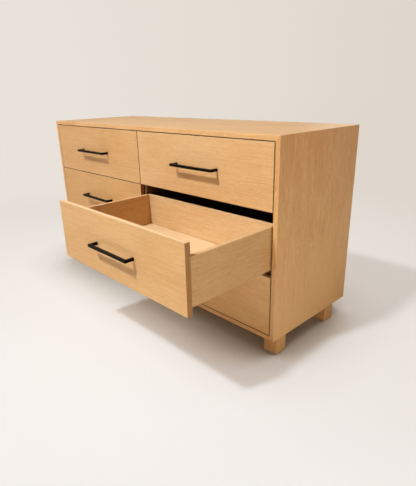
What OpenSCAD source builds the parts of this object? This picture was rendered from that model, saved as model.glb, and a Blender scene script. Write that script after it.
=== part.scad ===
// Low dresser: a mitred case on four block legs with six inset drawers in two columns.
// X runs along the front, Y runs from the front to the back and Z runs up from the floor.
// The origin is on the floor, at the middle of the whole footprint, open drawer included.

/* [Case] */
// Width of the case over its side boards
case_w = 1524; // [1300:2:1800]
// Depth of the case from its front edge to its back edge
case_d = 508; // [490:1:600]
// Height of the case without its legs
case_h = 740; // [700:1:860]
// Thickness of the top, bottom and side boards
panel_t = 18; // [16:0.5:22]
// Thickness of the upright divider between the columns
divider_t = 18; // [17:0.5:24]
// Distance of the divider's front edge behind the drawer fronts
divider_setback = 3; // [1:0.5:8]
// Thickness of the back panel
back_t = 6; // [4:0.5:9]
// Distance of the back panel from the case's back edge
back_inset = 12; // [8:1:16]
// Depth of the grooves that hold the back panel
back_groove = 8; // [5:0.5:9]
// Width of the bevel that breaks every sharp board edge
arris = 0.8; // [0.4:0.1:1.5]

/* [Case joints] */
// Thickness of the spline glued into each mitre
spline_t = 4; // [3:0.5:5]
// Width of the spline across the mitre
spline_w = 16; // [12:1:17]
// Distance that the splines stop short of the case's front and of the back panel
spline_stop = 30; // [20:1:60]
// Diameter of the dowels in the divider's ends
dowel_d = 8; // [6:0.5:10]
// Length of a dowel that stands in the divider
dowel_in_divider = 17; // [12:1:25]
// Length of a dowel that stands in the top or bottom board
dowel_in_panel = 11; // [8:0.5:13]
// Distance of the outer dowels from the divider's edges
dowel_edge = 45; // [30:1:80]

/* [Cross rails] */
// Thickness of a cross rail behind the gap between two rows of fronts
cross_rail_t = 18; // [14:0.5:22]
// Width of a cross rail from front to back
cross_rail_w = 60; // [40:1:90]
// Gap between a cross rail and the runners above it
cross_rail_gap = 2; // [1:0.5:4]
// Depth of the housings that hold a cross rail's ends in the side boards
cross_rail_housing = 5; // [3:0.5:8]

/* [Legs] */
// Width and depth of a square block leg
leg_size = 58; // [45:1:70]
// Height of the case above the floor
leg_h = 65; // [40:1:120]
// Distance of the front legs behind the case's front edge
leg_front_inset = 20; // [5:1:60]
// Distance of the rear legs ahead of the case's back edge
leg_rear_inset = 92; // [40:1:120]
// Width of the bevel on a leg's upright corners
leg_bevel = 1.5; // [0.5:0.5:5]
// Diameter of the glide under a leg
glide_d = 36; // [25:1:42]
// Thickness of the glide under a leg
glide_t = 2; // [1.5:0.5:5]
// Diameter of the nail of a glide
glide_nail_d = 3; // [2:0.5:4]
// Length of the nail of a glide
glide_nail_l = 12; // [8:1:20]

/* [Drawer fronts] */
// Gap round every drawer front
gap = 3; // [2:0.5:4]
// Thickness of a drawer front
front_t = 19; // [16:0.5:22]
// Distance that the middle drawer of the right column stands open
open_out = 388; // [0:1:400]

/* [Drawer boxes] */
// Height of a drawer box
box_h = 158; // [130:1:175]
// Length of a drawer box from front to back
box_len = 406; // [380:1:430]
// Height of a box's lower edge above its front's lower edge
box_lift = 27; // [24:0.5:34]
// Thickness of a box's sides
box_side_t = 15; // [12:0.5:16]
// Thickness of a box's front and back boards
box_end_t = 15; // [12:0.5:18]
// Depth of the housings and grooves in a box's boards
box_groove = 5; // [3:0.5:7]
// Thickness of a box's bottom
box_bottom_t = 9; // [6:0.5:12]
// Height of a box's bottom above the lower edge of its sides
bottom_recess = 13; // [12.5:0.5:16]
// Gap between a box's side and the case
side_gap = 5; // [4:0.5:8]

/* [Runners] */
// Thickness of the runners' sheet steel
sheet_t = 1.5; // [1:0.1:1.8]
// Width of a runner's channels
channel_w = 16; // [14:0.5:19]
// Gap between a box's side and the runner beside it
channel_gap = 2; // [1:0.5:4]
// Depth of a runner below the lower edge of the box
rail_drop = 12; // [10:0.5:14]
// Thickness of the slide feet on a runner's middle rail
foot_t = 3.3; // [2.5:0.1:4]
// Reach of the lips that hold the feet in their channels
lip = 4.5; // [3.5:0.5:5]
// Length of a case rail
rail_len = 420; // [405:1:440]
// Distance of a case rail behind the drawer fronts
rail_setback = 5; // [3:0.5:12]
// Length of a middle rail
middle_len = 400; // [380:1:420]
// Height of the flange that fixes a case rail
flange_h = 20; // [18:0.5:22]
// Width of a release clip under a box
clip_w = 20; // [15:1:30]
// Length of a release clip under a box
clip_len = 42; // [30:1:60]
// Thickness of a release clip
clip_t = 11; // [8:0.5:12]
// Diameter of the pin that hooks a runner to the box's back
hook_pin_d = 5; // [4:0.5:6]
// Length of that pin
hook_pin_l = 10; // [6:0.5:12]
// Height of that pin above the lower edge of the box
hook_pin_z = 29; // [28:0.5:34]
// Width of the hook plate that carries the pin
hook_w = 8; // [7:0.5:10]

/* [Pulls] */
// Distance between a pull's two posts, centre to centre
pull_cc = 224; // [128:1:320]
// Width of a pull's square bar
pull_bar = 10; // [8:0.5:14]
// Reach of a pull in front of the drawer front
pull_reach = 35; // [28:0.5:45]
// Width of the bevel on a pull's outer edges
pull_bevel = 0.6; // [0.3:0.1:1.2]
// Diameter of the screw hole in a post
post_hole_d = 4.2; // [3.2:0.1:5.2]
// Depth of the screw hole in a post
post_hole_l = 12; // [8:0.5:20]

/* [Screws] */
// Diameter of the pull screws
pull_screw_d = 4; // [3:0.1:5]
// Length of a pull screw that stands in the post
pull_screw_grip = 9; // [6:0.5:11]
// Diameter of the leg screws
leg_screw_d = 5; // [4:0.5:6]
// Length of the leg screws
leg_screw_l = 50; // [40:1:60]
// Distance of a leg screw from the leg's middle
leg_screw_pitch = 14; // [10:1:18]
// Diameter of the runner screws
rail_screw_d = 3.8; // [3:0.1:4.2]
// Length of a runner screw that stands in the wood
rail_screw_l = 8; // [6:0.5:8.4]
// Distance between the screws of a case rail
rail_screw_pitch = 192; // [160:1:200]
// Distance of a case rail's first screw from its front end
rail_screw_start = 13; // [10:0.5:20]
// Diameter of the back panel's screws
back_screw_d = 3.5; // [3:0.1:4.5]
// Length of the back panel's screws
back_screw_l = 28; // [20:1:35]

/* [Hidden] */
$fn = 48;
ROWS = ["top", "middle", "bottom"];
COLUMNS = ["left", "right"];
SIDES = [-1, 1];
ENDS = ["front", "rear"];

// Clearances between pieces that are glued, screwed or slid together.
glue_fit = 0.1;
hole_fit = 0.1;
slide_fit = 0.2;
seat_gap = 0.3;

// The case, in its own frame: Y is 0 at its front edge.
case_z0 = leg_h;
case_z1 = leg_h + case_h;
clear_w = case_w - 2 * panel_t;
clear_h = case_h - 2 * panel_t;
floor_z = case_z0 + panel_t;
ceiling_z = case_z1 - panel_t;
back_y = case_d - back_inset - back_t;
divider_y = front_t + divider_setback;
divider_l = back_y - divider_y;
opening_w = (clear_w - divider_t) / 2;

// The footprint runs from the open drawer's pull to the case's back edge.
front_reach = open_out + pull_reach;
front_y = (front_reach - case_d) / 2;

// Drawer fronts share the clear width and height.
front_w = (clear_w - (len(COLUMNS) + 1) * gap) / len(COLUMNS);
front_h = (clear_h - (len(ROWS) + 1) * gap) / len(ROWS);
pull_z = front_h / 2;

// Drawer boxes, in their own frame: Y is 0 at the front's face and Z at its lower edge.
box_w = opening_w - 2 * side_gap;
box_inner_w = box_w - 2 * box_side_t;
box_y0 = front_t;
box_y1 = box_y0 + box_len;
inner_y0 = box_y0 + box_end_t;
inner_y1 = box_y1 - box_end_t;

// Runners, in their section's frame: U is the distance from the case towards the drawer's
// middle, and V is the height above the lower edge of the box.
channel_u0 = side_gap + box_side_t + channel_gap;
channel_u1 = channel_u0 + channel_w;
channel_mid = channel_u0 + channel_w / 2;
channel_in = channel_w - 2 * sheet_t;
channel_h = foot_t + 2 * slide_fit + 2 * sheet_t;
rail_y = front_t + rail_setback;
middle_y = inner_y0 + 2;
notch_w = channel_gap + channel_w + 4;
flange_v = flange_h - rail_drop;
rail_screw_v = flange_v - flange_h / 2;

leg_centres = [for (s = SIDES, y = [leg_front_inset, case_d - leg_rear_inset - leg_size])
    [s * (case_w - leg_size) / 2, y + leg_size / 2]];
dowel_ys = [divider_y + dowel_edge, divider_y + divider_l / 2, back_y - dowel_edge];
back_screw_zs = [for (i = [0:3]) floor_z + clear_h * (0.125 + 0.25 * i)];
rail_screw_ys = [for (i = [0:2]) rail_y + rail_screw_start + i * rail_screw_pitch];

function front_x(c) = (c - 0.5) * (front_w + gap);
function opening_x(c) = (c - 0.5) * (opening_w + divider_t);
function front_z(r) = floor_z + gap + (len(ROWS) - 1 - r) * (front_h + gap);
function cross_rail_z(r) = front_z(r) + box_lift - rail_drop - cross_rail_gap - cross_rail_t;
function slid_out(r, c) = r == 1 && c == 1 ? open_out : 0;

// Frames

module in_case() {
    translate([0, front_y, 0]) children();
}

module in_drawer(r, c, share = 1) {
    in_case() translate([front_x(c), -share * slid_out(r, c), front_z(r)]) children();
}

// A drawer's box and runners are centred in the opening, not behind the front.
module in_box(r, c, share = 1) {
    in_drawer(r, c, share) translate([opening_x(c) - front_x(c), 0, 0]) children();
}

// Carries a runner's section along Y on both sides of a drawer's opening.
module runner_pair(y, length) {
    for (s = SIDES)
        mirror([s > 0 ? 0 : 1, 0, 0])
            translate([opening_w / 2, y + length, box_lift])
                rotate([90, 0, 0])
                    linear_extrude(height = length)
                        mirror([1, 0]) children();
}

// Shared shapes

// A square bar that bevels an edge along X where it is taken away.
module bevel_x(length, width) {
    rotate([45, 0, 0]) cube([length, width * sqrt(2), width * sqrt(2)], center = true);
}

module bevel_z(length, width) {
    rotate([0, 0, 45]) cube([width * sqrt(2), width * sqrt(2), length], center = true);
}

// A board with mitred ends. Its outer face is at Z 0 and its front edge at Y 0.
module mitred_board(length) {
    end = length / 2;
    difference() {
        translate([0, case_d, 0])
            rotate([90, 0, 0])
                linear_extrude(height = case_d)
                    polygon([
                        [arris - end, 0], [end - arris, 0], [end - arris / 2, -arris / 2],
                        [end - panel_t, -panel_t], [panel_t - end, -panel_t], [arris / 2 - end, -arris / 2]
                    ]);
        bevel_x(length + 1, arris);
        translate([0, 0, -panel_t]) bevel_x(length + 1, arris);
        translate([0, case_d, 0]) bevel_x(length + 1, arris);
        translate([-end, back_y - glue_fit, -panel_t - 1])
            cube([length, back_t + 2 * glue_fit, back_groove + 1]);
        for (s = SIDES)
            translate([s * (end - 0.6 * panel_t), 0, -0.6 * panel_t])
                mitre_spline(s, 2 * glue_fit);
    }
}

// A spline lies square to its mitre. The side s tells which way the mitre leans.
module mitre_spline(s, spare = 0) {
    length = back_y - 2 * spline_stop;
    translate([0, spline_stop + length / 2, 0])
        rotate([0, 45 * s, 0])
            cube([spline_w + spare, length + spare, spline_t + spare / 2], center = true);
}

// A countersunk screw that points down, its head flush at Z 0.
module countersunk_screw(d, length, spare = 0) {
    head_h = 0.55 * d;
    translate([0, 0, -length]) cylinder(d = d + spare, h = length);
    translate([0, 0, -head_h]) cylinder(d1 = d + spare, d2 = 2 * d + spare, h = head_h + 0.01);
}

// A pan-head screw that points down, the underside of its head at Z 0.
module pan_screw(d, length) {
    translate([0, 0, -length]) cylinder(d = d, h = length + 0.01);
    cylinder(d1 = 1.9 * d, d2 = 1.3 * d, h = 0.45 * d);
}

// Case

module case_top() {
    color("burlywood") in_case() difference() {
        translate([0, 0, case_z1]) mitred_board(case_w);
        divider_dowel_set(2 * hole_fit, seat_gap);
    }
}

module case_bottom() {
    color("burlywood") in_case() difference() {
        translate([0, 0, case_z0]) rotate([0, 180, 0]) mitred_board(case_w);
        divider_dowel_set(2 * hole_fit, seat_gap);
        leg_screw_set(2 * hole_fit);
    }
}

module case_side(s) {
    color("tan") in_case() difference() {
        translate([s * case_w / 2, 0, case_z0 + case_h / 2]) rotate([0, 90 * s, 0]) mitred_board(case_h);
        rail_screw_holes();
        for (r = [0, 1])
            translate([-clear_w / 2 - cross_rail_housing, divider_y, cross_rail_z(r)])
                cube([clear_w + 2 * cross_rail_housing, cross_rail_w, cross_rail_t]);
    }
}

module centre_divider() {
    color("burlywood") in_case() difference() {
        translate([-divider_t / 2, divider_y, floor_z]) cube([divider_t, divider_l, clear_h]);
        for (s = SIDES)
            translate([s * divider_t / 2, divider_y, floor_z + clear_h / 2]) bevel_z(clear_h + 1, arris);
        for (r = [0, 1])
            translate([-divider_t / 2 - 1, divider_y - 1, cross_rail_z(r)])
                cube([divider_t + 2, cross_rail_w / 2 + 1, cross_rail_t]);
        divider_dowel_set(2 * hole_fit, seat_gap);
        rail_screw_holes();
        back_screw_set(2 * hole_fit);
    }
}

// Each cross rail is housed in the side boards and halved over the divider.
module cross_rails() {
    length = clear_w + 2 * cross_rail_housing - 2 * glue_fit;
    color("burlywood") in_case() for (r = [0, 1]) translate([0, divider_y, cross_rail_z(r)]) difference() {
        translate([-length / 2, 0, 0]) cube([length, cross_rail_w, cross_rail_t]);
        for (z = [0, cross_rail_t]) translate([0, 0, z]) bevel_x(length + 1, arris);
        translate([-divider_t / 2, cross_rail_w / 2, -1])
            cube([divider_t, cross_rail_w, cross_rail_t + 2]);
    }
}

module back_panel() {
    reach = 2 * (back_groove - seat_gap);
    color("wheat") in_case() difference() {
        translate([0, back_y + back_t / 2, floor_z + clear_h / 2])
            cube([clear_w + reach, back_t, clear_h + reach], center = true);
        back_screw_set(2 * hole_fit);
    }
}

module mitre_splines() {
    inset = 0.6 * panel_t;
    color("peru") in_case() for (s = SIDES) {
        translate([s * (case_w / 2 - inset), 0, case_z1 - inset]) mitre_spline(s);
        translate([s * (case_w / 2 - inset), 0, case_z0 + inset]) mitre_spline(-s);
    }
}

// The dowels in the divider's lower and upper ends. Spare widths make their holes.
module divider_dowel_set(spare_d = 0, spare_l = 0) {
    length = dowel_in_divider + dowel_in_panel + 2 * spare_l;
    for (y = dowel_ys) {
        translate([0, y, floor_z - dowel_in_panel - spare_l]) cylinder(d = dowel_d + spare_d, h = length);
        translate([0, y, ceiling_z - dowel_in_divider - spare_l]) cylinder(d = dowel_d + spare_d, h = length);
    }
}

module divider_dowels() {
    color("peru") in_case() divider_dowel_set();
}

module back_screw_set(spare = 0) {
    for (z = back_screw_zs)
        translate([0, back_y + back_t, z]) rotate([-90, 0, 0])
            if (spare > 0)
                translate([0, 0, -back_screw_l - seat_gap])
                    cylinder(d = back_screw_d + spare, h = back_screw_l + 2 * seat_gap);
            else
                pan_screw(back_screw_d, back_screw_l);
}

module back_screws() {
    color("silver") in_case() back_screw_set();
}

// Legs

module leg(centre) {
    color("burlywood") in_case() difference() {
        translate([centre.x, centre.y, (glide_t + leg_h) / 2])
            cube([leg_size, leg_size, leg_h - glide_t], center = true);
        for (sx = SIDES, sy = SIDES)
            translate([centre.x + sx * leg_size / 2, centre.y + sy * leg_size / 2, leg_h / 2])
                bevel_z(leg_h + 1, leg_bevel);
        leg_screw_set(2 * hole_fit);
        translate([centre.x, centre.y, 0]) cylinder(d = glide_nail_d + 2 * hole_fit,
            h = glide_t + glide_nail_l + seat_gap);
    }
}

module leg_screw_set(spare = 0) {
    for (centre = leg_centres, s = SIDES)
        translate([centre.x, centre.y + s * leg_screw_pitch, floor_z])
            countersunk_screw(leg_screw_d, leg_screw_l, spare);
}

module leg_screws() {
    color("silver") in_case() leg_screw_set();
}

module leg_glides() {
    color("dimgray") in_case() for (centre = leg_centres)
        translate([centre.x, centre.y, 0]) {
            cylinder(d1 = glide_d - glide_t, d2 = glide_d, h = glide_t);
            translate([0, 0, glide_t - 0.01]) cylinder(d = glide_nail_d, h = glide_nail_l);
        }
}

// Runners: a case rail, a middle rail and a drawer rail slide in one another on each side.

module lipped_channel() {
    difference() {
        square([channel_w, channel_h]);
        translate([sheet_t, sheet_t]) square([channel_in, channel_h - 2 * sheet_t]);
        translate([lip, sheet_t]) square([channel_w - 2 * lip, channel_h]);
    }
}

module case_rails() {
    color("silver") for (r = [0:2], c = [0:1]) in_box(r, c, 0) difference() {
        runner_pair(rail_y, rail_len) union() {
            translate([0, -rail_drop]) square([sheet_t, flange_h]);
            translate([0, -rail_drop]) square([channel_u0 + sheet_t, sheet_t]);
            translate([channel_u0, -rail_drop]) lipped_channel();
        }
        rail_screw_places() cylinder(d = rail_screw_d + 2 * hole_fit, h = 3 * sheet_t, center = true);
    }
}

// Puts its children at each screw of one drawer's two case rails, pointing into the wood.
module rail_screw_places() {
    for (s = SIDES, y = rail_screw_ys)
        translate([s * opening_w / 2, y, box_lift + rail_screw_v])
            rotate([0, -90 * s, 0]) children();
}

module rail_screw_holes() {
    for (r = [0:2], c = [0:1])
        translate([opening_x(c), 0, front_z(r)]) rail_screw_places()
            translate([0, 0, -rail_screw_l - seat_gap])
                cylinder(d = rail_screw_d + 2 * hole_fit, h = rail_screw_l + 1);
}

module rail_screws() {
    color("silver") for (r = [0:2], c = [0:1])
        in_box(r, c, 0) rail_screw_places() translate([0, 0, sheet_t])
            pan_screw(rail_screw_d, rail_screw_l + sheet_t);
}

module middle_rails(r, c) {
    foot_w = channel_in - 2 * slide_fit;
    low = -rail_drop + sheet_t + slide_fit;
    high = bottom_recess - sheet_t - slide_fit;
    color("gainsboro") in_box(r, c, 0.5) runner_pair(middle_y, middle_len) union() {
        translate([channel_mid - foot_w / 2, low]) square([foot_w, foot_t]);
        translate([channel_mid - foot_w / 2, high - foot_t]) square([foot_w, foot_t]);
        translate([channel_mid - sheet_t / 2, low]) square([sheet_t, high - low]);
    }
}

module drawer_rails(r, c) {
    rail_y0 = inner_y0 + seat_gap;
    hook_y = box_y1 + seat_gap;
    hook_top = hook_pin_z + hook_pin_d;
    color("silver") in_box(r, c) {
        runner_pair(rail_y0, hook_y + sheet_t - rail_y0)
            translate([channel_u0, bottom_recess]) mirror([0, 1]) lipped_channel();
        for (s = SIDES) {
            translate([s * (opening_w / 2 - channel_mid), hook_y, box_lift]) {
                translate([-hook_w / 2, 0, bottom_recess - sheet_t])
                    cube([hook_w, sheet_t, hook_top - bottom_recess + sheet_t]);
                translate([0, 0.01, hook_pin_z]) rotate([90, 0, 0]) cylinder(d = hook_pin_d, h = hook_pin_l);
            }
        }
        for (s = SIDES)
            mirror([s > 0 ? 0 : 1, 0, 0])
                translate([opening_w / 2 - channel_u1 - seat_gap, rail_y0, box_lift + bottom_recess - clip_t])
                    release_clip();
    }
}

// A clip body with a thumb lever at its free end.
module release_clip() {
    linear_extrude(height = clip_t)
        polygon([
            [0, 0], [0, clip_len], [-clip_w / 2, clip_len], [-clip_w / 2, clip_len / 2],
            [-clip_w, clip_len / 3], [-clip_w, 0]
        ]);
}

// Drawers

module drawer_front(r, c) {
    color("burlywood") in_drawer(r, c) difference() {
        translate([-front_w / 2, 0, 0]) cube([front_w, front_t, front_h]);
        for (z = [0, front_h]) translate([0, 0, z]) bevel_x(front_w + 1, arris);
        for (s = SIDES) translate([s * front_w / 2, 0, front_h / 2]) bevel_z(front_h + 1, arris);
        pull_screw_holes();
    }
}

// Clearance holes through the front and the board behind it.
module pull_screw_holes() {
    for (s = SIDES)
        translate([s * pull_cc / 2, -1, pull_z]) rotate([-90, 0, 0])
            cylinder(d = pull_screw_d + 6 * hole_fit, h = front_t + box_end_t + 2);
}

// A square bar bent twice into a flat U. Its outlines from above, the side and the front cross.
module pull_body() {
    half = (pull_cc + pull_bar) / 2;
    h = pull_bar / 2;
    b = pull_bevel;
    intersection() {
        translate([0, 0, -h]) linear_extrude(height = pull_bar) polygon([
            [-half, 0], [-half, b - pull_reach], [b - half, -pull_reach],
            [half - b, -pull_reach], [half, b - pull_reach], [half, 0],
            [half - pull_bar, 0], [half - pull_bar, pull_bar - pull_reach],
            [pull_bar - half, pull_bar - pull_reach], [pull_bar - half, 0]
        ]);
        translate([-half, 0, 0]) rotate([90, 0, 90]) linear_extrude(height = 2 * half) polygon([
            [0, -h], [0, h], [b - pull_reach, h], [-pull_reach, h - b], [-pull_reach, b - h], [b - pull_reach, -h]
        ]);
        rotate([90, 0, 0]) linear_extrude(height = pull_reach) polygon([
            [b - half, -h], [half - b, -h], [half, b - h], [half, h - b],
            [half - b, h], [b - half, h], [-half, h - b], [-half, b - h]
        ]);
    }
}

module pull(r, c) {
    color("#1c1a19") in_drawer(r, c) translate([0, 0, pull_z]) {
        difference() {
            pull_body();
            for (s = SIDES)
                translate([s * pull_cc / 2, 1, 0]) rotate([90, 0, 0])
                    cylinder(d = post_hole_d, h = post_hole_l + 1);
        }
        for (s = SIDES)
            translate([s * pull_cc / 2, front_t + box_end_t, 0]) rotate([-90, 0, 0])
                pan_screw(pull_screw_d, pull_screw_grip + front_t + box_end_t);
    }
}

module box_sides(r, c) {
    color("tan") in_box(r, c) for (s = SIDES) mirror([s > 0 ? 0 : 1, 0, 0]) difference() {
        translate([box_w / 2 - box_side_t, box_y0, box_lift]) cube([box_side_t, box_len, box_h]);
        translate([box_inner_w / 2 - 1, box_y0 - 1, box_lift - 1])
            cube([box_groove + 1, box_end_t + 1, box_h + 2]);
        translate([box_inner_w / 2 - 1, inner_y1, box_lift - 1])
            cube([box_groove + 1, box_end_t + 1, box_h + 2]);
        bottom_groove();
    }
}

// The groove that the bottom slides into, cut in all four boards at once.
module bottom_groove() {
    reach = 2 * box_groove;
    translate([0, (inner_y0 + inner_y1) / 2, box_lift + bottom_recess + (box_bottom_t + slide_fit) / 2])
        cube([box_inner_w + reach, inner_y1 - inner_y0 + reach, box_bottom_t + slide_fit], center = true);
}

module box_ends(r, c) {
    length = box_inner_w + 2 * box_groove - 2 * glue_fit;
    color("burlywood") in_box(r, c) {
        difference() {
            translate([-length / 2, box_y0, box_lift]) cube([length, box_end_t, box_h]);
            bottom_groove();
            translate([front_x(c) - opening_x(c), 0, 0]) pull_screw_holes();
        }
        difference() {
            translate([-length / 2, inner_y1, box_lift]) cube([length, box_end_t, box_h]);
            bottom_groove();
            for (s = SIDES) mirror([s > 0 ? 0 : 1, 0, 0]) {
                translate([box_inner_w / 2 - notch_w, inner_y1 - 1, box_lift - 1])
                    cube([notch_w + box_groove + 1, box_end_t + 2, bottom_recess + 1]);
                translate([opening_w / 2 - channel_mid, box_y1 + 1, box_lift + hook_pin_z])
                    rotate([90, 0, 0]) cylinder(d = hook_pin_d + 2 * seat_gap, h = box_end_t + 2);
            }
        }
    }
}

module box_bottom(r, c) {
    reach = 2 * (box_groove - seat_gap);
    color("wheat") in_box(r, c)
        translate([0, (inner_y0 + inner_y1) / 2, box_lift + bottom_recess + box_bottom_t / 2])
            cube([box_inner_w + reach, inner_y1 - inner_y0 + reach, box_bottom_t], center = true);
}

case_top();
case_bottom();
case_side(-1);  // case_left_side
case_side(1);  // case_right_side
centre_divider();
cross_rails();
back_panel();
mitre_splines();
divider_dowels();
back_screws();
for (e = [0:1], c = [0:1])
    leg(leg_centres[2 * c + e]);
leg_screws();
leg_glides();
case_rails();
rail_screws();
for (r = [0:2], c = [0:1]) {
    place = str(ROWS[r], "_", COLUMNS[c], "_");
    drawer_front(r, c);
    pull(r, c);
    box_sides(r, c);
    box_ends(r, c);
    box_bottom(r, c);
    drawer_rails(r, c);
    middle_rails(r, c);
}
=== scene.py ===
import bmesh
import bpy
from math import pi, radians
from mathutils import Matrix, Vector


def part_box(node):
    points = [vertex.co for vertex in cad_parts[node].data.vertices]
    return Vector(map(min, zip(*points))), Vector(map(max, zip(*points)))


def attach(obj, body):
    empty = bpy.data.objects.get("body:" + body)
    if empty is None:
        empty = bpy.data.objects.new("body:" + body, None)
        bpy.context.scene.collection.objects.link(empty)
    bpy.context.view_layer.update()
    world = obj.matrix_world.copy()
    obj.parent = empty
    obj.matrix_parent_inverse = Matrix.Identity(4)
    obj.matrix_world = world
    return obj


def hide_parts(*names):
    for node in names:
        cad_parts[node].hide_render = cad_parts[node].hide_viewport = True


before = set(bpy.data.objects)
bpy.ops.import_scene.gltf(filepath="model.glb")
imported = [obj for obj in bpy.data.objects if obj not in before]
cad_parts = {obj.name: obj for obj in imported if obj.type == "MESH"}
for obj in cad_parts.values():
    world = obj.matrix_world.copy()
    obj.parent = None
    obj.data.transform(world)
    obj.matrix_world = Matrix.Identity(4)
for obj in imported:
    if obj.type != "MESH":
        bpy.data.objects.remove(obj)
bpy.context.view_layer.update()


# Camera
# It stands off the right front corner, a little above the top, and looks down at the open drawer.
# Its place and its turns were worked out from the straight edges in the photograph.
camera_place = Vector((1.555, -1.125, 0.9343))
camera_azimuth, camera_elevation, camera_roll = radians(46.12), radians(19.76), radians(-1.35)
film_mm, focal_px, picture_height_px = 36, 419, 486
camera = bpy.data.objects.new("camera", bpy.data.cameras.new("camera"))
bpy.context.scene.collection.objects.link(camera)
camera.data.sensor_width = film_mm
camera.data.lens = film_mm * focal_px / picture_height_px
camera.matrix_world = (
    Matrix.Translation(camera_place)
    @ Matrix.Rotation(camera_azimuth, 4, "Z")
    @ Matrix.Rotation(pi / 2 - camera_elevation, 4, "X")
    @ Matrix.Rotation(camera_roll, 4, "Z")
)
bpy.context.scene.camera = camera
bpy.context.scene.view_settings.view_transform = "Standard"


# Studio lamps
# A small lamp high in front throws the pulls' crisp shadows down the fronts, and a broad one far
# to the left shades the floor on the right. Weak ones lift the right side and the back.
open_drawer = Vector((0.5, -0.2, 0.35))
lamp_distance = 5.5
key_direction, soft_direction = Vector((-0.25, -1, 1.6)), Vector((-1, -0.4, 0.6))
cool_light, soft_light, warm_light = (0.94, 0.98, 1), (1, 0.94, 0.86), (1, 0.93, 0.85)


def area_lamp(name, size, energy, color, place, aim, beam=180):
    """A soft round lamp that shines from one place to another, in a beam of so many degrees."""
    lamp = bpy.data.objects.new(name, bpy.data.lights.new(name, "AREA"))
    bpy.context.scene.collection.objects.link(lamp)
    lamp.data.shape = "DISK"
    lamp.data.size = size
    lamp.data.energy = energy
    lamp.data.color = color
    lamp.data.spread = radians(beam)
    lamp.location = place
    lamp.rotation_mode = "QUATERNION"
    lamp.rotation_quaternion = (place - aim).to_track_quat("Z", "Y")


area_lamp("key_lamp", 0.45, 38, cool_light, open_drawer + lamp_distance * key_direction.normalized(),
          open_drawer, beam=70)
area_lamp("soft_lamp", 3.0, 76, soft_light, open_drawer + lamp_distance * soft_direction.normalized(),
          open_drawer)
area_lamp("fill_lamp", 0.9, 9.5, warm_light, Vector((2.1, -0.7, 0.12)), Vector((0.7, 0.1, 0.25)))
area_lamp("rear_lamp", 1.6, 16, warm_light, Vector((-0.6, 3.6, 0.8)), Vector((0, 0.4, 0.35)))


# Studio room
# Pale walls all round fill the shadows. The wall behind the dresser is the one that shows, and
# it is also what the lacquer and the steel reflect.
room_light_color, room_light_strength = (1, 0.8, 0.6, 1), 0.21
wall_left, wall_right = (0.815, 0.76, 0.7, 1.0), (0.735, 0.675, 0.605, 1.0)
mirrored_front, mirrored_back = 0.25, 1.0


def spread(tree, value, low, high, out_low=0.0, out_high=1.0):
    """Maps a value's range to another, held at both ends."""
    node = tree.nodes.new("ShaderNodeMapRange")
    node.inputs["From Min"].default_value = low
    node.inputs["From Max"].default_value = high
    node.inputs["To Min"].default_value = out_low
    node.inputs["To Max"].default_value = out_high
    tree.links.new(value, node.inputs["Value"])
    return node.outputs["Result"]


def tint(tree, kind, share, first, second):
    """Mixes two colours. The share and each colour may be plain or come from a node."""
    node = tree.nodes.new("ShaderNodeMix")
    node.data_type = "RGBA"
    node.blend_type = kind
    colors = [s for s in node.inputs if s.type == "RGBA"]
    for socket, value in ((node.inputs["Factor"], share), (colors[0], first), (colors[1], second)):
        if isinstance(value, (tuple, float)):
            socket.default_value = value
        else:
            tree.links.new(value, socket)
    return [s for s in node.outputs if s.type == "RGBA"][0]


def blend(tree, share, first, second):
    """Mixes two shaders."""
    node = tree.nodes.new("ShaderNodeMixShader")
    for socket, value in zip(node.inputs, (share, first, second)):
        tree.links.new(value, socket)
    return node.outputs[0]


def wall_tone(tree, axes):
    """The wall's colour in a direction, a little darker towards the right."""
    return tint(tree, "MIX", spread(tree, axes.outputs["X"], -0.9, -0.35), wall_left, wall_right)


world = bpy.data.worlds.new("studio_room")
bpy.context.scene.world = world
world.use_nodes = True
room = world.node_tree
room_path = room.nodes.new("ShaderNodeLightPath")
room_aim = room.nodes.new("ShaderNodeTexCoord")
room_axes = room.nodes.new("ShaderNodeSeparateXYZ")
room.links.new(room_aim.outputs["Generated"], room_axes.inputs[0])
room_tone = wall_tone(room, room_axes)
room_light = room.nodes["Background"]
room_light.inputs["Color"].default_value = room_light_color
room_light.inputs["Strength"].default_value = room_light_strength
room_seen = room.nodes.new("ShaderNodeBackground")
room.links.new(room_tone, room_seen.inputs["Color"])
room_mirrored = room.nodes.new("ShaderNodeBackground")
room.links.new(room_tone, room_mirrored.inputs["Color"])
room_behind = spread(room, room_axes.outputs["Y"], -0.3, 0.5, mirrored_front, mirrored_back)
room.links.new(room_behind, room_mirrored.inputs["Strength"])
room_unseen = blend(room, room_path.outputs["Is Glossy Ray"], room_light.outputs[0],
                    room_mirrored.outputs[0])
room_all = blend(room, room_path.outputs["Is Camera Ray"], room_unseen, room_seen.outputs[0])
room.links.new(room_all, room.nodes["World Output"].inputs["Surface"])


# Floor
# A plain pale studio floor under the legs. For the camera its soft shadow is partly painted shade: a glow
# that is dark only where the case and the drawer hang over it, mixed with the shadows of the lamps. Far
# from the dresser it fades into the wall.
floor_radius, floor_near, floor_far = 40, 1.3, 3.0
floor_lit, floor_seen = (0.74, 0.66, 0.58, 1.0), (0.88, 0.94, 0.97, 1.0)
shade_reach, shade_tilt, shade_share = 0.34, (0.1, 0.2, 1), 0.6
shade_open = (0.9, 0.82, 0.765, 1)
shade_steps = (
    (0.45, (0.06, 0.03, 0.01, 1)),
    (0.6, (0.33, 0.25, 0.195, 1)),
    (0.7, (0.51, 0.42, 0.35, 1)),
    (0.78, (0.71, 0.62, 0.55, 1)),
    (0.84, (0.8, 0.71, 0.65, 1)),
    (0.97, (0.84, 0.75, 0.69, 1)),
)


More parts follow.
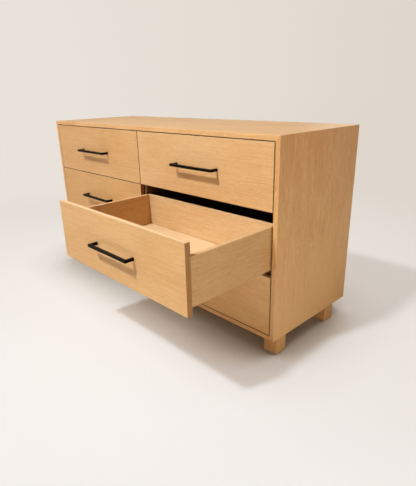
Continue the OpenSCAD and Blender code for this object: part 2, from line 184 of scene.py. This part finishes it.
def calculate(tree, operation, *values):
    """A chain of one Math operation over numbers and outputs."""
    result = values[0]
    for value in values[1:]:
        node = tree.nodes.new("ShaderNodeMath")
        node.operation = operation
        for socket, part in zip(node.inputs, (result, value)):
            if isinstance(part, (int, float)):
                socket.default_value = part
            else:
                tree.links.new(part, socket)
        result = node.outputs[0]
    return result


def place_math(tree, operation, place):
    """One Vector Math operation on a place."""
    node = tree.nodes.new("ShaderNodeVectorMath")
    node.operation = operation
    tree.links.new(place, node.inputs[0])
    return node


bpy.ops.object.select_all(action="DESELECT")
bpy.ops.mesh.primitive_circle_add(vertices=96, radius=floor_radius, fill_type="NGON")
floor = bpy.context.object
floor.name = "floor"
studio_floor = bpy.data.materials.new("studio_floor")
studio_floor.use_nodes = True
paint = studio_floor.node_tree
paint_seen = paint.nodes.new("ShaderNodeLightPath").outputs["Is Camera Ray"]
paint_seat = paint.nodes.new("ShaderNodeTexCoord").outputs["Object"]
paint_shader = paint.nodes["Principled BSDF"]
paint.links.new(tint(paint, "MIX", paint_seen, floor_lit, floor_seen), paint_shader.inputs["Base Color"])
paint_shader.inputs["Roughness"].default_value = 0.9
paint_shader.inputs["Specular IOR Level"].default_value = 0.2
# Painted shade: a glow whose colour darkens where the dresser covers the floor, which the camera sees
# mixed with the lit floor.
paint_cover = paint.nodes.new("ShaderNodeAmbientOcclusion")
paint_cover.samples = 12
paint_cover.inputs["Distance"].default_value = shade_reach
paint_tilt = paint.nodes.new("ShaderNodeCombineXYZ")
for socket, value in zip(paint_tilt.inputs, shade_tilt):
    socket.default_value = value
paint.links.new(paint_tilt.outputs[0], paint_cover.inputs["Normal"])
paint_shade = paint.nodes.new("ShaderNodeValToRGB")
shade_stops = paint_shade.color_ramp.elements
shade_stops.remove(shade_stops[0])
shade_stops[0].color = shade_open
for position, color in shade_steps:
    shade_stops.new(position).color = color
paint.links.new(paint_cover.outputs["AO"], paint_shade.inputs["Fac"])
painted_floor_shade = paint.nodes.new("ShaderNodeEmission")
paint.links.new(paint_shade.outputs["Color"], painted_floor_shade.inputs["Color"])
paint_near = blend(paint, calculate(paint, "MULTIPLY", paint_seen, shade_share), paint_shader.outputs[0],
                   painted_floor_shade.outputs[0])
paint_axes = paint.nodes.new("ShaderNodeSeparateXYZ")
paint.links.new(place_math(paint, "NORMALIZE", paint_seat).outputs["Vector"], paint_axes.inputs[0])
paint_far = paint.nodes.new("ShaderNodeEmission")
paint.links.new(wall_tone(paint, paint_axes), paint_far.inputs["Color"])
paint_fade = spread(paint, place_math(paint, "LENGTH", paint_seat).outputs["Value"], floor_near, floor_far)
paint_fade.node.interpolation_type = "SMOOTHSTEP"
paint_all = blend(paint, paint_fade, paint_near, paint_far.outputs[0])
paint.links.new(paint_all, paint.nodes["Material Output"].inputs["Surface"])
floor.data.materials.append(studio_floor)


# Case boards
# Veneered boards, mitred at the four corners. The grain runs round the case: along the top
# and the bottom, and upright on the sides. The veneer is pale and even, with a satin lacquer.
veneer_pale, veneer_deep, veneer_speck = (0.82, 0.495, 0.225), (0.66, 0.315, 0.105), (0.6, 0.26, 0.07)
veneer_end = (0.84, 0.78, 0.7)
painted_top_light, painted_edge_highlight, painted_shade_dark = (0.98, 0.7, 0.42, 1.0), (0.9, 0.6, 0.33), (0.06, 0.035, 0.02, 1.0)
edge_band_width = 0.0016
corner_reach, inside_reach = 0.01, 0.5


def fibres(tree, place, width, length, detail):
    """Noise drawn out along the grain. Width and length are those of a fibre, in metres."""
    mapping = tree.nodes.new("ShaderNodeMapping")
    mapping.inputs["Scale"].default_value = (width / length, 1, 1)
    tree.links.new(place, mapping.inputs["Vector"])
    texture = tree.nodes.new("ShaderNodeTexNoise")
    texture.inputs["Scale"].default_value = 1 / width
    texture.inputs["Detail"].default_value = detail
    texture.inputs["Roughness"].default_value = 0.55
    tree.links.new(mapping.outputs[0], texture.inputs["Vector"])
    return texture.outputs["Fac"]


def edge_band(tree, axes, node, width):
    """1 on the edges of a node's box and 0 away from them, from the second nearest of its faces."""
    low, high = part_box(node)
    gaps = []
    for i, axis in enumerate("XYZ"):
        to_low = calculate(tree, "SUBTRACT", axes.outputs[axis], low[i])
        to_high = calculate(tree, "SUBTRACT", high[i], axes.outputs[axis])
        gaps.append(calculate(tree, "MINIMUM", to_low, to_high))
    nearer = calculate(tree, "MINIMUM", gaps[0], gaps[1])
    further = calculate(tree, "MAXIMUM", gaps[0], gaps[1])
    second = calculate(tree, "MAXIMUM", nearer, calculate(tree, "MINIMUM", further, gaps[2]))
    return spread(tree, second, 0.25 * width, width, 1.0, 0.0)


def toned(color, tone):
    """A colour of the veneer in a board's own tone."""
    return tuple(c * t for c, t in zip(color, tone)) + (1.0,)


def add_bump(tree, shader, height, strength, distance):
    """Roughens a surface with a height from its nodes."""
    bump = tree.nodes.new("ShaderNodeBump")
    bump.inputs["Strength"].default_value = strength
    bump.inputs["Distance"].default_value = distance
    tree.links.new(height, bump.inputs["Height"])
    tree.links.new(bump.outputs[0], shader.inputs["Normal"])


def veneer(name, grain, board, tone, shift=0.0, top_light_share=0.0, end=veneer_end, inside=False, painted_floor_bounce=0.0,
           figure=1.0, painted_shade_strength=0.96, painted_edge_color=painted_edge_highlight):
    """Pale, even-grained veneer for a board. The grain runs along one axis of the row frame, shift moves
    it on to another part of the tree, and the colour may deepen towards the board's top: painted light,
    which leaves the lower part of the board paler as if lit by the floor."""
    material = bpy.data.materials.new(name)
    material.use_nodes = True
    tree = material.node_tree
    shader = tree.nodes["Principled BSDF"]
    seat = tree.nodes.new("ShaderNodeTexCoord")
    axes = tree.nodes.new("ShaderNodeSeparateXYZ")
    tree.links.new(seat.outputs["Object"], axes.inputs[0])
    facing = tree.nodes.new("ShaderNodeSeparateXYZ")
    tree.links.new(seat.outputs["Normal"], facing.inputs[0])
    along, across, third = {"x": "XYZ", "y": "YXZ", "z": "ZXY"}[grain]
    end_face = spread(tree, calculate(tree, "ABSOLUTE", facing.outputs[along], 0.0), 0.6, 0.8)

    # On the faces the grain runs along the board and sways a little. On its ends it shows as bands.
    turned = tree.nodes.new("ShaderNodeCombineXYZ")
    banded = tree.nodes.new("ShaderNodeCombineXYZ")
    wave = fibres(tree, seat.outputs["Object"], 0.2, 0.3, 1)
    sway = spread(tree, wave, 0.2, 0.8, shift - 0.008, shift + 0.008)
    for socket, axis in zip(turned.inputs, (along, across, third)):
        value = axes.outputs[axis]
        tree.links.new(value if axis == along else calculate(tree, "ADD", value, sway), socket)
    for socket, axis in zip(banded.inputs, (third, across, along)):
        tree.links.new(axes.outputs[axis], socket)
    grain_mix = tree.nodes.new("ShaderNodeMix")
    grain_mix.data_type = "VECTOR"
    vectors = [s for s in grain_mix.inputs if s.type == "VECTOR"][-2:]
    tree.links.new(end_face, grain_mix.inputs["Factor"])
    tree.links.new(turned.outputs[0], vectors[0])
    tree.links.new(banded.outputs[0], vectors[1])
    place = [s for s in grain_mix.outputs if s.type == "VECTOR"][0]

    # Broad clouds, growth rings, flecks and fibres deepen the pale wood, and a few specks stand out. Where
    # asked, the colour also deepens with height, painted light that leaves the board paler near the floor.
    cloud = fibres(tree, place, 0.09, 0.25, 1)
    growth = fibres(tree, place, 0.0045, 0.16, 2)
    fleck = fibres(tree, place, 0.0022, 0.03, 2)
    fibre = fibres(tree, place, 0.0009, 0.014, 2)
    speck = fibres(tree, place, 0.004, 0.013, 1)
    depth = calculate(
        tree, "ADD", calculate(tree, "MULTIPLY", axes.outputs["Z"], painted_floor_bounce), -0.4 * painted_floor_bounce,
        spread(tree, cloud, 0.25, 0.75, 0.08, 0.48),
        spread(tree, growth, 0.25, 0.75, -0.3 * figure, 0.3 * figure),
        spread(tree, fleck, 0.25, 0.75, -0.28 * figure, 0.28 * figure),
        spread(tree, fibre, 0.25, 0.75, -0.26, 0.32),
    )
    color = tint(tree, "MIX", depth, toned(veneer_pale, tone), toned(veneer_deep, tone))
    color = tint(tree, "MIX", spread(tree, speck, 0.66, 0.78, 0.0, 0.7), color, toned(veneer_speck, tone))
    color = tint(tree, "MULTIPLY", end_face, color, end + (1.0,))
    # Faces that look up are painted lighter, a painted highlight of the light from above.
    if top_light_share:
        upward = spread(tree, facing.outputs["Z"], 0.6, 0.8, 0.0, top_light_share)
        color = tint(tree, "MIX", upward, color, painted_top_light)

    # Painted shade: faces in corners and in the gaps between parts are darkened where nearby faces cover
    # them, and the boards inside the case are darkened deeply.
    shades = [(corner_reach, 4, 0.3, 0.8)] + ([(inside_reach, 12, 0.3, 0.6)] if inside else [])
    for reach, samples, dark, bright in shades:
        crevice = tree.nodes.new("ShaderNodeAmbientOcclusion")
        crevice.samples = samples
        crevice.inputs["Distance"].default_value = reach
        shade = spread(tree, crevice.outputs["AO"], dark, bright, painted_shade_strength, 0.0)
        color = tint(tree, "MULTIPLY", shade, color, painted_shade_dark)
    # The board's edges are painted: lighter as a painted highlight where light catches the arrises, and on
    # the fronts dark as painted shade of the gaps.
    edge = edge_band(tree, axes, board, edge_band_width)
    color = tint(tree, "MIX", calculate(tree, "MULTIPLY", edge, 0.45), color, painted_edge_color + (1.0,))
    tree.links.new(color, shader.inputs["Base Color"])
    lacquer = spread(tree, fibre, 0.3, 0.7, 0.4, 0.5)
    gloss = calculate(tree, "ADD", lacquer, calculate(tree, "MULTIPLY", edge, 0.08))
    tree.links.new(gloss, shader.inputs["Roughness"])
    shader.inputs["Specular IOR Level"].default_value = 0.5
    add_bump(tree, shader, fibre, 0.2, 0.0003)
    return material


def dress(node, material):
    """Gives a CAD node its finish."""
    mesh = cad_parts[node].data
    mesh.materials.clear()
    mesh.materials.append(material)


# The right side's colour deepens towards its top, painted light that makes its lower part paler as if lit
# by the floor.
for name, grain, tone, shift, painted_floor_bounce, figure in (
    ("top", "x", (0.98, 0.99, 0.96), 0.3, 0.0, 1.4),
    ("bottom", "x", (0.97, 0.96, 0.95), 1.4, 0.0, 1.0),
    ("left_side", "z", (0.99, 0.96, 0.94), 2.3, 0.0, 1.5),
    ("right_side", "z", (0.975, 0.985, 0.925), 3.1, 1.35, 1.5),
):
    board = f"case_{name}"
    dress(board, veneer(f"veneer_{name}", grain, board, tone, shift, painted_floor_bounce=painted_floor_bounce, figure=figure))


# Inner boards
# A veneered upright divider between the columns, solid cross rails that are halved over it and
# housed in the sides, and a thin veneered back panel that slides in grooves round the case.
for board, finish, grain, tone, shift in (
    ("centre_divider", "veneer_divider", "z", (0.95, 0.92, 0.88), 0.7),
    ("cross_rails", "wood_cross_rails", "x", (0.93, 0.9, 0.86), 1.9),
    ("back_panel", "veneer_back", "x", (0.9, 0.88, 0.86), 4.2),
):
    dress(board, veneer(finish, grain, board, tone, shift, inside=True))


# Legs
# Four solid square blocks with their grain upright, of the same wood as the veneer. They stand
# under the bottom board and are screwed on from inside the case.
COLUMNS = ("left", "right")
leg_tone = (0.87, 0.84, 0.75)
for i, row_end in enumerate(("front", "rear")):
    for j, column in enumerate(COLUMNS):
        name = f"{row_end}_{column}_leg"
        dress(name, veneer(f"wood_{name}", "z", name, leg_tone, 5.3 + i + 0.5 * j))


# Hidden joinery
# Beech splines, glued into stopped grooves in the mitres, and beech dowels, glued into the
# divider's ends. They hold the case together and don't show on its outside.
beech_tone = (0.85, 0.8, 0.75)
dress("mitre_splines", veneer("beech_splines", "y", "mitre_splines", beech_tone))
dress("divider_dowels", veneer("beech_dowels", "z", "divider_dowels", beech_tone))


# Drawer fronts
# Six flat veneered fronts, cut in sequence so that the grain runs on across each row. Their
# upright ends are banded with strips of the same veneer.
ROWS = ("top", "middle", "bottom")
# The fronts' tones differ, and partly as painted light: the left column is darker than the right, as the
# light falls brighter on the right.
front_tones = {
    "top_left": (0.91, 0.9, 0.84), "top_right": (0.95, 1.0, 1.05),
    "middle_left": (0.87, 0.84, 0.72), "middle_right": (0.93, 0.95, 0.93),
    "bottom_left": (0.95, 0.94, 0.92), "bottom_right": (1.02, 1.09, 1.08),
}
# The fronts' edges are painted dark, painted shade of the gaps between them, in place of the paler painted
# highlight on other boards' edges.
front_end, painted_gap_shade = (0.54, 0.43, 0.29), (0.25, 0.09, 0.025)
for i, row in enumerate(ROWS):
    for column in COLUMNS:
        name = f"{row}_{column}_front"
        tone = front_tones[f"{row}_{column}"]
        dress(name, veneer(f"veneer_{name}", "x", name, tone, 7.1 + 0.9 * i, 0.55, front_end, figure=0.85,
                           painted_edge_color=painted_gap_shade))


# Drawer boxes
# Solid wood sides with the grain from front to back, and solid ends with the grain across,
# housed in the sides. A thin, paler bottom slides in their grooves.
for i, row in enumerate(ROWS):
    for column in COLUMNS:
        for part, grain, tone, top_light_share in (
            ("box_sides", "y", (0.84, 0.87, 0.83), 0.25),
            ("box_ends", "x", (0.97, 1.12, 1.31), 0.5),
            ("box_bottom", "x", (0.84, 1.0, 1.27), 0.5),
        ):
            name = f"{row}_{column}_{part}"
            dress(name, veneer(f"wood_{name}", grain, name, tone, 11.3 + 0.7 * i, top_light_share, painted_shade_strength=0.4))


# Pulls
# A bar of 10 mm square steel with two arms mitred to its ends, powder coated matt black. Two
# zinc-plated machine screws with cross-recessed pan heads hold it from inside the drawer.
pull_length, pull_bar, pull_reach, pull_centres, pull_rounding = 0.234, 0.010, 0.035, 0.224, 0.0007
pull_screw_diameter, pull_screw_length = 0.004, 0.043
front_thickness, box_end_thickness = 0.019, 0.015


def select_faces(piece, wanted):
    """In edit mode, selects the faces whose centre and normal pass a test."""
    bpy.ops.mesh.select_mode(type="FACE")
    bpy.ops.mesh.select_all(action="DESELECT")
    shape = bmesh.from_edit_mesh(piece.data)
    for face in shape.faces:
        face.select_set(wanted(face.calc_center_median(), face.normal))
    bmesh.update_edit_mesh(piece.data)


def new_block(name, size, centre):
    """A block to shape further, left in edit mode. Its place is in its mesh."""
    bpy.ops.object.select_all(action="DESELECT")
    bpy.ops.mesh.primitive_cube_add(size=1)
    block = bpy.context.object
    block.name = name
    bpy.ops.object.mode_set(mode="EDIT")
    bpy.ops.transform.resize(value=size)
    bpy.ops.transform.translate(value=centre)
    return block


def apply_modifier(piece, kind, **settings):
    """Adds a modifier to a piece and applies it."""
    modifier = piece.modifiers.new(kind.lower(), kind)
    for key, value in settings.items():
        setattr(modifier, key, value)
    bpy.ops.object.select_all(action="DESELECT")
    piece.select_set(True)
    bpy.context.view_layer.objects.active = piece
    bpy.ops.object.modifier_apply(modifier=modifier.name)


def cross_cutter(width, length, depth):
    """Two crossed wedges, wide at the top, that cut a screw head's recess. The top is 1 mm above Z 0."""
    spare = 0.001
    cutter = new_block("cross_cutter", (length, width, depth + spare), (0, 0, (spare - depth) / 2))
    select_faces(cutter, lambda centre, normal: normal.z < -0.9)
    bpy.ops.transform.resize(value=(0.45, 0.6, 1))
    bpy.ops.mesh.select_all(action="SELECT")
    bpy.ops.mesh.duplicate()
    bpy.ops.transform.rotate(value=pi / 2, orient_axis="Z", center_override=(0, 0, 0))
    bpy.ops.object.mode_set(mode="OBJECT")
    return cutter


def cross_screw(name, diameter, length, countersunk=False):
    """A screw along Z with a cross recess. It points down, and its pan head stands on Z 0. A
    countersunk head ends flush with Z 0. All parts of the head follow the diameter."""
    head_radius = diameter if countersunk else 0.95 * diameter
    head_height = 0.55 * diameter if countersunk else 0.45 * diameter
    top = 0.0 if countersunk else head_height
    bpy.ops.object.select_all(action="DESELECT")
    bpy.ops.mesh.primitive_cylinder_add(vertices=28, radius=head_radius, depth=head_height)
    screw = bpy.context.object
    screw.name = name
    bpy.ops.object.mode_set(mode="EDIT")
    bpy.ops.transform.translate(value=(0, 0, top - head_height / 2))
    if countersunk:
        select_faces(screw, lambda centre, normal: normal.z < -0.9)
        bpy.ops.transform.resize(value=(0.5, 0.5, 1))
        bpy.ops.mesh.inset(thickness=0.0001)
    else:
        select_faces(screw, lambda centre, normal: normal.z > 0.9)
        bpy.ops.transform.resize(value=(0.8, 0.8, 1))
        bpy.ops.mesh.bevel(offset=0.3 * head_height, segments=3, affect="EDGES")
        select_faces(screw, lambda centre, normal: normal.z < -0.9)
        bpy.ops.mesh.inset(thickness=0.45 * diameter)
    bpy.ops.mesh.extrude_region_move(TRANSFORM_OT_translate={"value": (0, 0, -0.9 * length)})
    bpy.ops.mesh.extrude_region_move(TRANSFORM_OT_translate={"value": (0, 0, -0.1 * length)})
    bpy.ops.transform.resize(value=(0.3, 0.3, 1))
    bpy.ops.object.mode_set(mode="OBJECT")
    cutter = cross_cutter(0.22 * diameter, 1.1 * diameter, 0.35 * diameter)
    cutter.data.transform(Matrix.Translation((0, 0, top)))
    apply_modifier(screw, "BOOLEAN", object=cutter, operation="DIFFERENCE", solver="EXACT", use_self=True)
    bpy.data.objects.remove(cutter)
    bpy.ops.object.shade_smooth_by_angle(angle=radians(35))
    return screw


def set_copies(pattern, name, places):
    """Sets copies of a piece at the given places, each with its own mesh, and joins them."""
    copies = []
    for place in places:
        copy = pattern.copy()
        copy.data = pattern.data.copy()
        copy.data.transform(place)
        bpy.context.scene.collection.objects.link(copy)
        copies.append(copy)
    bpy.ops.object.select_all(action="DESELECT")
    for copy in copies:
        copy.select_set(True)
    bpy.context.view_layer.objects.active = copies[0]
    if len(copies) > 1:
        bpy.ops.object.join()
    copies[0].name = name
    return copies[0]


def finish_of(name):
    """A new material, its node tree, its shader, and a socket for the place on the object."""
    material = bpy.data.materials.new(name)
    material.use_nodes = True
    tree = material.node_tree
    seat = tree.nodes.new("ShaderNodeTexCoord").outputs["Object"]
    return material, tree, tree.nodes["Principled BSDF"], seat


coat, tree, shader, seat = finish_of("black_powder_coat")
coat_dark, coat_pale = (0.001, 0.0008, 0.0007, 1.0), (0.0035, 0.0025, 0.002, 1.0)
peel = fibres(tree, seat, 0.0011, 0.0011, 2)
handled = fibres(tree, seat, 0.03, 0.03, 2)
coat_color = tint(tree, "MIX", spread(tree, peel, 0.3, 0.7), coat_dark, coat_pale)
tree.links.new(coat_color, shader.inputs["Base Color"])
peel_gloss = spread(tree, peel, 0.3, 0.7, 0.34, 0.46)
coat_gloss = calculate(tree, "ADD", peel_gloss, spread(tree, handled, 0.3, 0.7, -0.05, 0.05))
tree.links.new(coat_gloss, shader.inputs["Roughness"])
shader.inputs["Specular IOR Level"].default_value = 0.06
add_bump(tree, shader, peel, 0.3, 0.0001)

zinc, tree, shader, seat = finish_of("zinc_plated_steel")
zinc_dark, zinc_pale = (0.5, 0.5, 0.49, 1.0), (0.66, 0.66, 0.645, 1.0)
drawn = fibres(tree, seat, 0.0007, 0.03, 2)
spangle = fibres(tree, seat, 0.006, 0.006, 2)
zinc_color = tint(tree, "MIX", spread(tree, spangle, 0.3, 0.7), zinc_dark, zinc_pale)
tree.links.new(zinc_color, shader.inputs["Base Color"])
shader.inputs["Metallic"].default_value = 1
drawn_gloss = spread(tree, drawn, 0.3, 0.7, 0.26, 0.42)
zinc_gloss = calculate(tree, "ADD", drawn_gloss, spread(tree, spangle, 0.3, 0.7, -0.05, 0.05))
tree.links.new(zinc_gloss, shader.inputs["Roughness"])
add_bump(tree, shader, drawn, 0.15, 0.0001)

arm_inner = pull_length / 2 - pull_bar
pull = new_block("pull_pattern", (pull_length, pull_bar, pull_bar), (0, pull_bar / 2 - pull_reach, 0))
for side in (-1, 1):
    bpy.ops.mesh.select_all(action="SELECT")
    bpy.ops.mesh.bisect(plane_co=(side * arm_inner, 0, 0), plane_no=(1, 0, 0))
select_faces(pull, lambda centre, normal: normal.y > 0.9 and abs(centre.x) > arm_inner)
bpy.ops.mesh.extrude_region_move(TRANSFORM_OT_translate={"value": (0, pull_reach - pull_bar, 0)})
bpy.ops.object.mode_set(mode="OBJECT")
apply_modifier(pull, "BEVEL", width=pull_rounding, segments=3, limit_method="ANGLE")
bpy.ops.object.shade_smooth_by_angle(angle=radians(35))
pull.data.materials.append(coat)

pull_screw = cross_screw("pull_screw_pattern", pull_screw_diameter, pull_screw_length)
pull_screw.data.materials.append(zinc)
screw_turn = Matrix.Rotation(-pi / 2, 4, "X")
screw_head_y = front_thickness + box_end_thickness
for row in ROWS:
    for column in COLUMNS:
        name = f"{row}_{column}_pull"
        low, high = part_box(name)
        middle = (Vector(low) + Vector(high)) / 2
        seat_point = Vector((middle.x, low[1] + pull_reach, middle.z))
        bar = set_copies(pull, f"{name}_bar", [Matrix.Translation(seat_point)])
        screws = set_copies(pull_screw, f"{name}_screws", [
            Matrix.Translation(seat_point + Vector((side * pull_centres / 2, screw_head_y, 0)))
            @ screw_turn @ Matrix.Rotation(0.4 + side, 4, "Z")
            for side in (-1, 1)
        ])
        for piece, slot in ((bar, "pull_black"), (screws, "screw_steel")):
            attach(piece, f"{row}_{column}_drawer")
            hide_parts(name)
bpy.data.objects.remove(pull)
bpy.data.objects.remove(pull_screw)


# Front screws
# Four small zinc-plated pan-head screws in each drawer fix the box's front board to the drawer
# front from inside. They stand clear of the two screws of the pull.
front_screw_diameter, front_screw_length = 0.004, 0.028
front_screw_spacing, front_screw_heights = 0.58, (0.055, 0.125)
front_screw = cross_screw("front_screw_pattern", front_screw_diameter, front_screw_length)
front_screw.data.materials.append(zinc)
for row in ROWS:
    for column in COLUMNS:
        low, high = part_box(f"{row}_{column}_box_ends")
        middle_x, board_y = (low[0] + high[0]) / 2, low[1] + box_end_thickness
        screws = set_copies(front_screw, f"{row}_{column}_front_screws", [
            Matrix.Translation((middle_x + side * front_screw_spacing / 2, board_y, low[2] + height))
            @ screw_turn @ Matrix.Rotation(1.3 * side + 20 * height, 4, "Z")
            for side in (-1, 1) for height in front_screw_heights
        ])
        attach(screws, f"{row}_{column}_drawer")
bpy.data.objects.remove(front_screw)


# Back screws
# Four zinc-plated pan-head wood screws hold the back panel to the rear edge of the divider,
# spaced evenly up its height.
back_screw_diameter, back_screw_length, back_screw_count = 0.0035, 0.028, 4
back_screw = cross_screw("back_screw_pattern", back_screw_diameter, back_screw_length)
back_screw.data.materials.append(zinc)
back_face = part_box("back_panel")[1][1]
low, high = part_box("back_screws")
first_height = low[2] + 0.95 * back_screw_diameter
last_height = high[2] - 0.95 * back_screw_diameter
back_screw_step = (last_height - first_height) / (back_screw_count - 1)
back_screw_heads = set_copies(back_screw, "back_screw_heads", [
    Matrix.Translation((0, back_face, first_height + i * back_screw_step))
    @ screw_turn @ Matrix.Rotation(0.9 * i, 4, "Z")
    for i in range(back_screw_count)
])
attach(back_screw_heads, "case")
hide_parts("back_screws")
bpy.data.objects.remove(back_screw)


# Leg screws
# Two zinc-plated countersunk screws for each leg, driven down through the bottom board from
# inside the case, one behind the other.
leg_screw_diameter, leg_screw_length, leg_screw_offset = 0.005, 0.050, 0.014
leg_screw = cross_screw("leg_screw_pattern", leg_screw_diameter, leg_screw_length, countersunk=True)
leg_screw.data.materials.append(zinc)
bottom_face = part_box("leg_screws")[1][2]
places = []
for row_end in ("front", "rear"):
    for column in COLUMNS:
        low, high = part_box(f"{row_end}_{column}_leg")
        middle = (Vector(low) + Vector(high)) / 2
        for side in (-1, 1):
            places.append(
                Matrix.Translation((middle.x, middle.y + side * leg_screw_offset, bottom_face))
                @ Matrix.Rotation(1.7 * side + low[1], 4, "Z")
            )
leg_screw_heads = set_copies(leg_screw, "leg_screw_heads", places)
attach(leg_screw_heads, "case")
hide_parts("leg_screws")
bpy.data.objects.remove(leg_screw)


# Runners
# Three rails of folded, zinc-plated sheet steel on each side of each drawer, one in another. The
# case rails are screwed to the case, and the drawer rails hook into the back of the box.
for row in ROWS:
    for column in COLUMNS:
        dress(f"{row}_{column}_drawer_rails", zinc)
        dress(f"{row}_{column}_middle_rails", zinc)
for name in ("case_rails", "rail_screws"):
    dress(name, zinc)


# Glides
# Round black nylon discs under the legs. A nail that is moulded into each disc holds it in the
# leg's end grain.
nylon, tree, shader, seat = finish_of("black_nylon")
nylon_dark, nylon_pale = (0.02, 0.02, 0.02, 1.0), (0.045, 0.044, 0.042, 1.0)
scuff = fibres(tree, seat, 0.002, 0.002, 3)
nylon_color = tint(tree, "MIX", spread(tree, scuff, 0.3, 0.7), nylon_dark, nylon_pale)
tree.links.new(nylon_color, shader.inputs["Base Color"])
tree.links.new(spread(tree, scuff, 0.3, 0.7, 0.42, 0.62), shader.inputs["Roughness"])
add_bump(tree, shader, scuff, 0.25, 0.0002)
dress("leg_glides", nylon)
